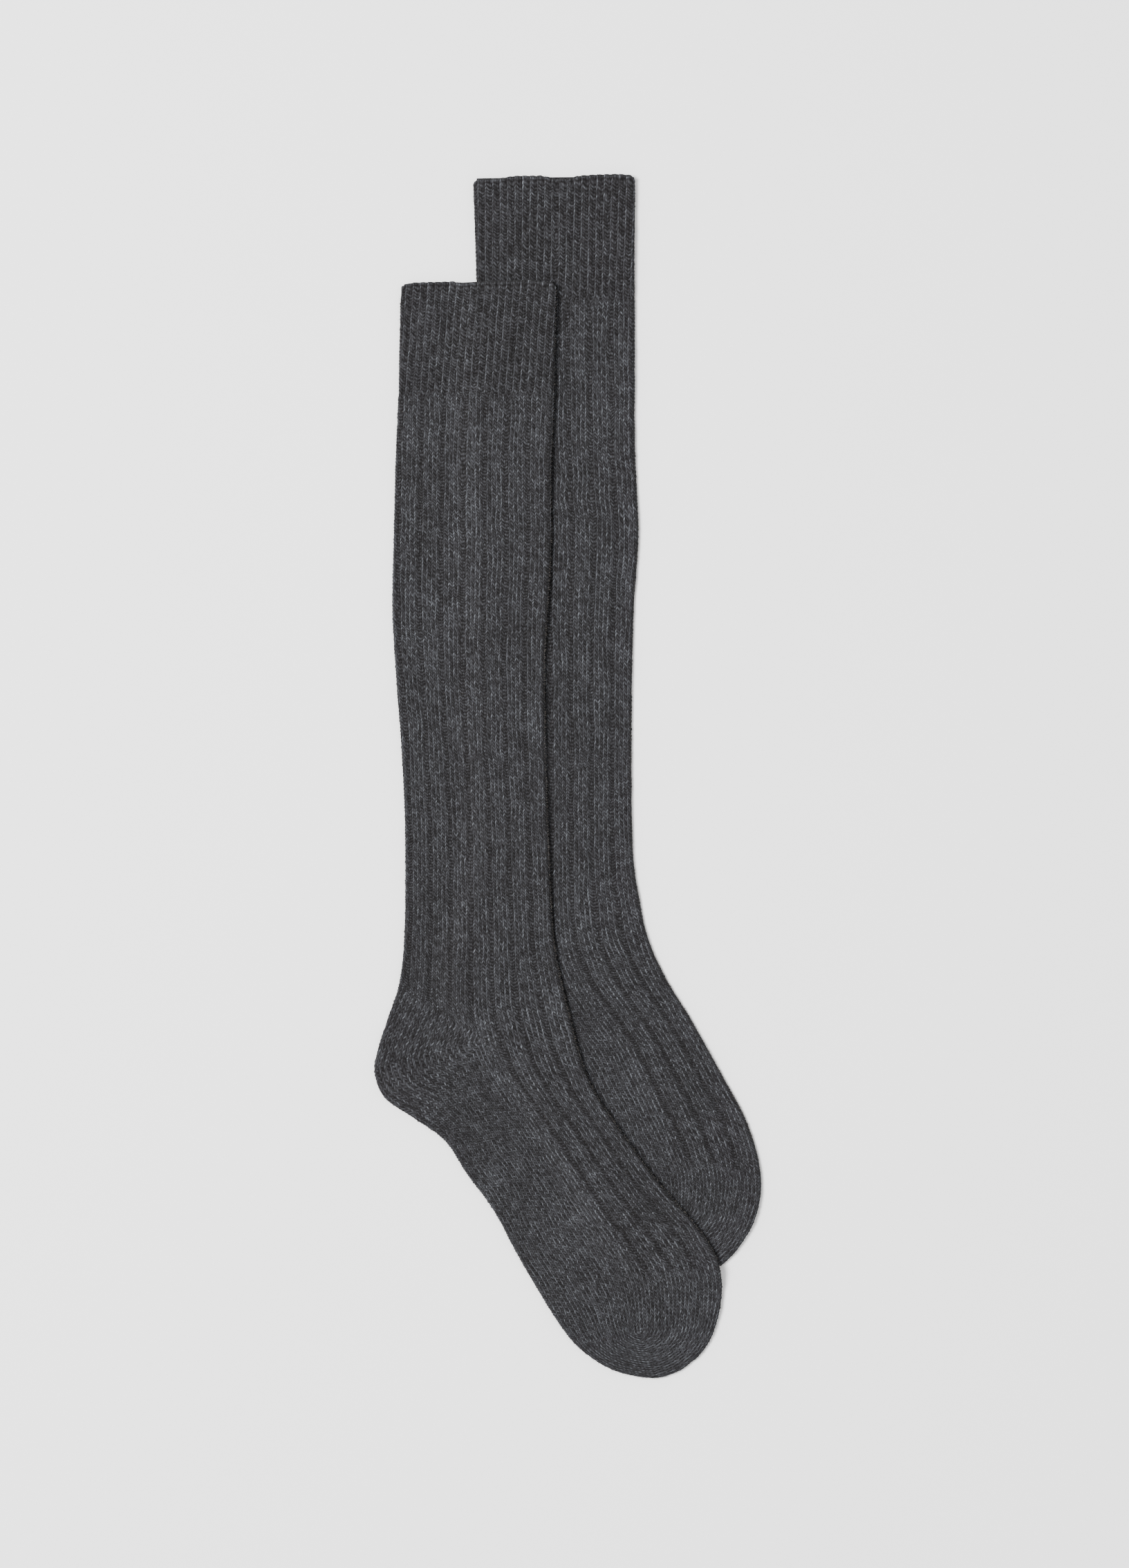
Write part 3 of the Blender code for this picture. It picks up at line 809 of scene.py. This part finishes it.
def wool_material(name):
    """Marled wool. The "Knit" map counts wales across and courses along."""
    material = plain_material(name, WOOL[2][1], 0.95)
    tree = material.node_tree
    surface = tree.nodes["Principled BSDF"]
    for label, value in WOOL_SURFACE.items():
        surface.inputs[label].default_value = value

    # The legs: two to a wale, counted across, and one to a course
    knit = tree.nodes.new("ShaderNodeUVMap")
    knit.uv_map = "Knit"
    stray = noise(tree, knit.outputs[0], (1.7, 1.3), 1, "how the legs stray")
    bent = tree.nodes.new("ShaderNodeVectorMath")
    bent.operation = "MULTIPLY_ADD"
    bent.inputs[1].default_value = (2 * LEG_BEND[0], 2 * LEG_BEND[1], 0)
    tree.links.new(stray.outputs["Color"], bent.inputs[0])
    tree.links.new(knit.outputs[0], bent.inputs[2])
    axes = tree.nodes.new("ShaderNodeSeparateXYZ")
    tree.links.new(bent.outputs[0], axes.inputs[0])
    across = weighted(tree, axes.outputs[0], LEG_BEND[0], 2)
    along = math_node(tree, "ADD", axes.outputs[1], 0.5 - LEG_BEND[1])
    shade, purl = attribute(tree, "shade"), attribute(tree, "purl")
    unbroken = math_node(tree, "MAXIMUM", bulge(tree, across, 3), purl)
    leg = math_node(tree, "MULTIPLY", unbroken, bulge(tree, along, 1.3))

    leg_number = math_node(tree, "FLOOR", across)
    is_left = math_node(tree, "FLOORED_MODULO", leg_number, 2)
    cell = tree.nodes.new("ShaderNodeCombineXYZ")
    tree.links.new(leg_number, cell.inputs[0])
    tree.links.new(math_node(tree, "FLOOR", along), cell.inputs[1])
    yarn = tree.nodes.new("ShaderNodeTexWhiteNoise")
    yarn.noise_dimensions = "2D"
    yarn.label = "each leg's yarn"
    tree.links.new(cell.outputs[0], yarn.inputs["Vector"])
    fibres = noise(tree, knit.outputs[0], (4.0, 11.0), 2, "fibres along each leg").outputs["Fac"]
    values = {
        "tone": attribute(tree, "tone"),
        "yarn": yarn.outputs["Value"],
        "leg": leg,
        # the left legs' painted highlight, weaker where the shade value is low
        "left": weighted(tree, is_left, 0.5, shade),
        "fibres": fibres,
        "flecks": noise(tree, knit.outputs[0], (2.2, 1.7), 1, "flecks of the marl").outputs["Fac"],
        "shade": shade,
        "purl": purl,
    }
    # The colour: the marl's blotches, yarn, fibres and flecks, with painted shade and highlight from the
    # legs' shape, the left legs, the grooves and the purl wales
    tone = MEAN_TONE
    for part in TONE_PARTS:
        tone = math_node(tree, "ADD", tone, weighted(tree, values[part.value], part.middle, part.weight))
    colour = colour_ramp(tree, tone, WOOL, "charcoal marl")
    tree.links.new(colour, surface.inputs["Base Color"])

    bump = tree.nodes.new("ShaderNodeBump")
    bump.inputs["Strength"].default_value = 0.7
    bump.inputs["Distance"].default_value = 0.0004
    height = math_node(tree, "ADD", leg, math_node(tree, "MULTIPLY", fibres, 0.6))
    tree.links.new(height, bump.inputs["Height"])
    tree.links.new(bump.outputs["Normal"], surface.inputs["Normal"])
    return material


def fuzz_material(name):
    """Stray fibres, paler and browner than the yarn."""
    material = plain_material(name, FUZZ_COLOURS[0][1], 0.9)
    tree = material.node_tree
    place = tree.nodes.new("ShaderNodeTexCoord").outputs["Object"]
    varied = noise(tree, place, (900, 900), 1, "from fibre to fibre").outputs["Fac"]
    colour = colour_ramp(tree, varied, FUZZ_COLOURS, "stray fibres")
    tree.links.new(colour, tree.nodes["Principled BSDF"].inputs["Base Color"])
    return material


# ---- the scene round the socks
FLOOR_COLOUR, FLOOR_REACH = (0.92, 0.92, 0.92), 3
AIM = (-1.6, -3.85)  # the photograph's centre in mm, before the socks are centred
DISTANCE, LENS = 1.985, 90.0
WINDOW_PLACE, WINDOW_SIZE, WINDOW_POWER = (-1.3, 0.25, 2.6), 1.1, 195
SKY = 1.2  # strength of the light from all round


def add_floor():
    mesh = bpy.data.meshes.new("floor")
    corners = [(FLOOR_REACH * x, FLOOR_REACH * y, 0) for x, y in ((-1, -1), (1, -1), (1, 1), (-1, 1))]
    mesh.from_pydata(corners, [], [(0, 1, 2, 3)])
    mesh.materials.append(plain_material("floor", FLOOR_COLOUR, 0.9))
    floor = scene_object("floor", mesh)


def add_camera(centre):
    camera = bpy.data.cameras.new("camera")
    camera.lens, camera.sensor_width, camera.clip_end = LENS, 36, 20
    made = scene_object("camera", camera)
    made.location = ((AIM[0] - centre[0]) * MM, (AIM[1] - centre[1]) * MM, DISTANCE)
    bpy.context.scene.camera = made


def add_lights():
    world = bpy.data.worlds.new("world")
    world.use_nodes = True
    background = world.node_tree.nodes["Background"]
    background.inputs["Color"].default_value = (1, 1, 1, 1)
    background.inputs["Strength"].default_value = SKY
    bpy.context.scene.world = world

    light = bpy.data.lights.new("window", "AREA")
    light.shape, light.size, light.energy = "DISK", WINDOW_SIZE, WINDOW_POWER
    window = scene_object("window", light)
    window.location = WINDOW_PLACE
    window.rotation_euler = Vector(WINDOW_PLACE).to_track_quat("Z", "Y").to_euler()


# ---- putting the pieces together
def knit_piece(knit, name, keep, flat_bake):
    """Some of the outer surface. Its bake map is laid out as the tube, or as the cloth lies flat."""
    tube, triangles = knit.tube, knit.tube.triangles[keep]
    corners, ring, row = triangles.ravel(), tube.corner_ring[keep].ravel(), tube.corner_row[keep].ravel()
    bake_map = knit.flat[corners].T if flat_bake else (ring, tube.course[corners])
    return wool_object(name, knit.points, triangles, (ring, row / 2), bake_map, knit.values, knit.normals)


def inside_piece(knit, name, upper):
    """One face of the sock's inner surface, drawn coarsely: it can only be seen into at the cuff."""
    tube = Tube(np.arange(0.0, RING), step=INSIDE_STEP, slant=0)
    base, flat = place_vertices(knit.plan, knit.sock, tube.ring, tube.course, tube.foot, knit.lift)
    normals = vertex_normals(base, tube.triangles)
    keep = (tube.strip_ring < FACE) == upper
    turned = (grid[keep][:, ::-1] for grid in (tube.triangles, tube.corner_ring, tube.corner_row))
    triangles, ring, row = turned
    maps = (ring.ravel(), row.ravel() / 2), flat[triangles.ravel()].T
    values = {label: np.full(len(base), value) for label, value in INSIDE_VALUES.items()}
    return wool_object(name, base - WALL * normals, triangles, *maps, values, -normals)


def rim_piece(knit, name):
    """The rounded edge of the cuff, from its outer surface over the wall to its inner surface."""
    tube, count, steps = knit.tube, len(knit.tube.chains), len(RIM_ANGLES)
    first, second = (np.array([chain["leg"][row] for chain in tube.chains]) for row in (0, 4))
    base, normal = knit.base[first], knit.base_normals[first]
    outward = base - knit.base[second]
    outward -= (outward * normal).sum(1)[:, None] * normal
    outward /= np.linalg.norm(outward, axis=1)[:, None]
    outer, inner = knit.points[first], base - WALL * normal
    middle, radius = (outer + inner) / 2, np.linalg.norm(outer - inner, axis=1)[:, None] / 2
    angles = RIM_ANGLES[:, None, None]
    points = middle + radius * (np.cos(angles) * normal + RIM_BULGE * np.sin(angles) * outward)

    def at_corners(grid):
        """The grid's values at the corners of two triangles a cell."""
        a, b, c, d = grid[:-1, :-1], grid[:-1, 1:], grid[1:, 1:], grid[1:, :-1]
        return np.stack([a, b, c, a, c, d], axis=-1)

    column, step = np.meshgrid(np.arange(count + 1), np.arange(steps))
    triangles = at_corners(column % count + count * step).reshape(-1, 3)
    ring, step = at_corners(np.append(tube.columns, RING)[column]).ravel(), at_corners(step).ravel()
    values = {label: np.tile(values[first], steps) for label, values in knit.values.items()}
    # the cuff's edge painted darker, through its shade value
    values["shade"] -= RIM_SHADE
    return wool_object(name, points.reshape(-1, 3), triangles, (ring, -step / 4), (ring, step), values)


# A fibre's triangles: corners 0 to 2 are its root, 3 to 5 its middle and 6 its tip
FIBRE_ROOT = ((0, 2, 1), (0, 1, 4), (0, 4, 3), (1, 2, 5), (1, 5, 4), (2, 0, 3), (2, 3, 5))
FIBRE_TIP = ((3, 4, 6), (4, 5, 6), (5, 3, 6))
FIBRE_CORNERS = 7


def fuzz_piece(knit, name):
    """Stray fibres that stand out from the folds and the cuff, each a closed, bent, pointed strand."""
    rng = np.random.default_rng(knit.sock.seed + 100)
    sideways = 1 - np.abs(knit.base_normals[:, 2])
    weight = np.where(sideways > 0.45, 1.0, 0.0) + FUZZ_ON_TOP * (knit.normals[:, 2] > 0.5)
    roots = rng.choice(len(weight), FUZZ_COUNT, p=weight / weight.sum())
    out = knit.base_normals[roots] + rng.normal(0, FUZZ_SPREAD, (FUZZ_COUNT, 3))
    out /= np.linalg.norm(out, axis=1)[:, None]
    bend = rng.normal(0, FUZZ_BEND, (FUZZ_COUNT, 3))
    length = rng.uniform(*FUZZ_LENGTH, FUZZ_COUNT)[:, None]
    across = np.cross(out, rng.normal(size=(FUZZ_COUNT, 3)))
    across /= np.linalg.norm(across, axis=1)[:, None]
    level = np.cross(out, across)

    root = knit.points[roots] - 0.15 * out
    middle = root + 0.5 * length * out
    tip = root + length * (out + 0.35 * bend)
    angles = (0, 2 * math.pi / 3, 4 * math.pi / 3)
    corners = [math.cos(angle) * across + math.sin(angle) * level for angle in angles]
    thickness = (root, FUZZ_RADIUS), (middle, 0.8 * FUZZ_RADIUS)
    points = [place + radius * c for place, radius in thickness for c in corners]
    points = np.stack([*points, tip], axis=1)
    points[..., 2] = np.maximum(points[..., 2], CLEAR)
    one = np.array(FIBRE_ROOT + FIBRE_TIP)
    triangles = (one + FIBRE_CORNERS * np.arange(FUZZ_COUNT)[:, None, None]).reshape(-1, 3)
    mesh = new_mesh(name, points.reshape(-1, 3), triangles)

    # Each fibre has its own cell of the map
    side = math.ceil(math.sqrt(FUZZ_COUNT))
    cell, corner = np.divmod(triangles.ravel(), FIBRE_CORNERS)
    u = (cell % side + 0.1 + 0.25 * (corner % 3)) / side
    v = (cell // side + 0.1 + 0.35 * (corner // 3)) / side
    add_uv(mesh, "OFBake", u, v)
    return scene_object(name, mesh)


def make_sock(knit):
    """The sock's pieces by kind, and the smooth cloth's area in each of its sheets, in square metres."""
    tube = knit.tube
    rows = tube.row[tube.triangles].max(axis=1)
    foot, upper = tube.on_foot, tube.strip_ring < FACE
    cuff = ~foot & (rows <= 2 * CUFF_COURSES)
    leg = ~foot & ~cuff
    doubled = np.linalg.norm(face_normals(knit.base, tube.triangles), axis=1)
    name = f"sock_{knit.sock.name}"
    made, areas = {}, {}
    for kind, keep in (
        ("cuff", cuff),
        ("leg_top", leg & upper),
        ("leg_under", leg & ~upper),
        ("foot_top", foot & upper),
        ("foot_under", foot & ~upper),
    ):
        made[kind] = knit_piece(knit, f"{name}_{kind}", keep, flat_bake=kind.startswith("foot"))
        areas[kind] = doubled[keep].sum() / 2 * MM**2
    for kind, inner_upper in (("inside_top", True), ("inside_under", False)):
        made[kind] = inside_piece(knit, f"{name}_{kind}", inner_upper)
        areas[kind] = INSIDE_SHARE * FLAT["inside"][0] * FLAT["inside"][1]
    made["rim"] = rim_piece(knit, f"{name}_rim")
    made["fuzz"] = fuzz_piece(knit, f"{name}_fuzz")
    return made, areas


def main():
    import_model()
    plans = {sock.name: Plan(f"{sock.name}_sock", sock) for sock in SOCKS}
    edges = np.vstack([plan.edge for plan in plans.values()])
    centre = (edges.min(axis=0) + edges.max(axis=0)) / 2

    def over_back_sock(points):
        near = DRAPE_OUT - plans["back"].outside(points)
        return RISE * smooth_step(near / (DRAPE_OUT + DRAPE_IN))

    lifts = {"back": lambda points: np.zeros(len(points)), "front": over_back_sock}
    wool, stray = wool_material("charcoal wool"), fuzz_material("stray fibres")
    shift = Matrix.Translation((-centre[0] * MM, -centre[1] * MM, 0))
    for sock in SOCKS:
        pieces, areas = make_sock(Knit(plans[sock.name], sock, lifts[sock.name]))
        for kind, piece in pieces.items():
            piece.data.transform(shift)
            piece.data.materials.append(stray if kind == "fuzz" else wool)
            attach(piece, "root")
            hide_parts(f"sock_{sock.name}")

    add_floor()
    add_lights()
    add_camera(centre)


main()
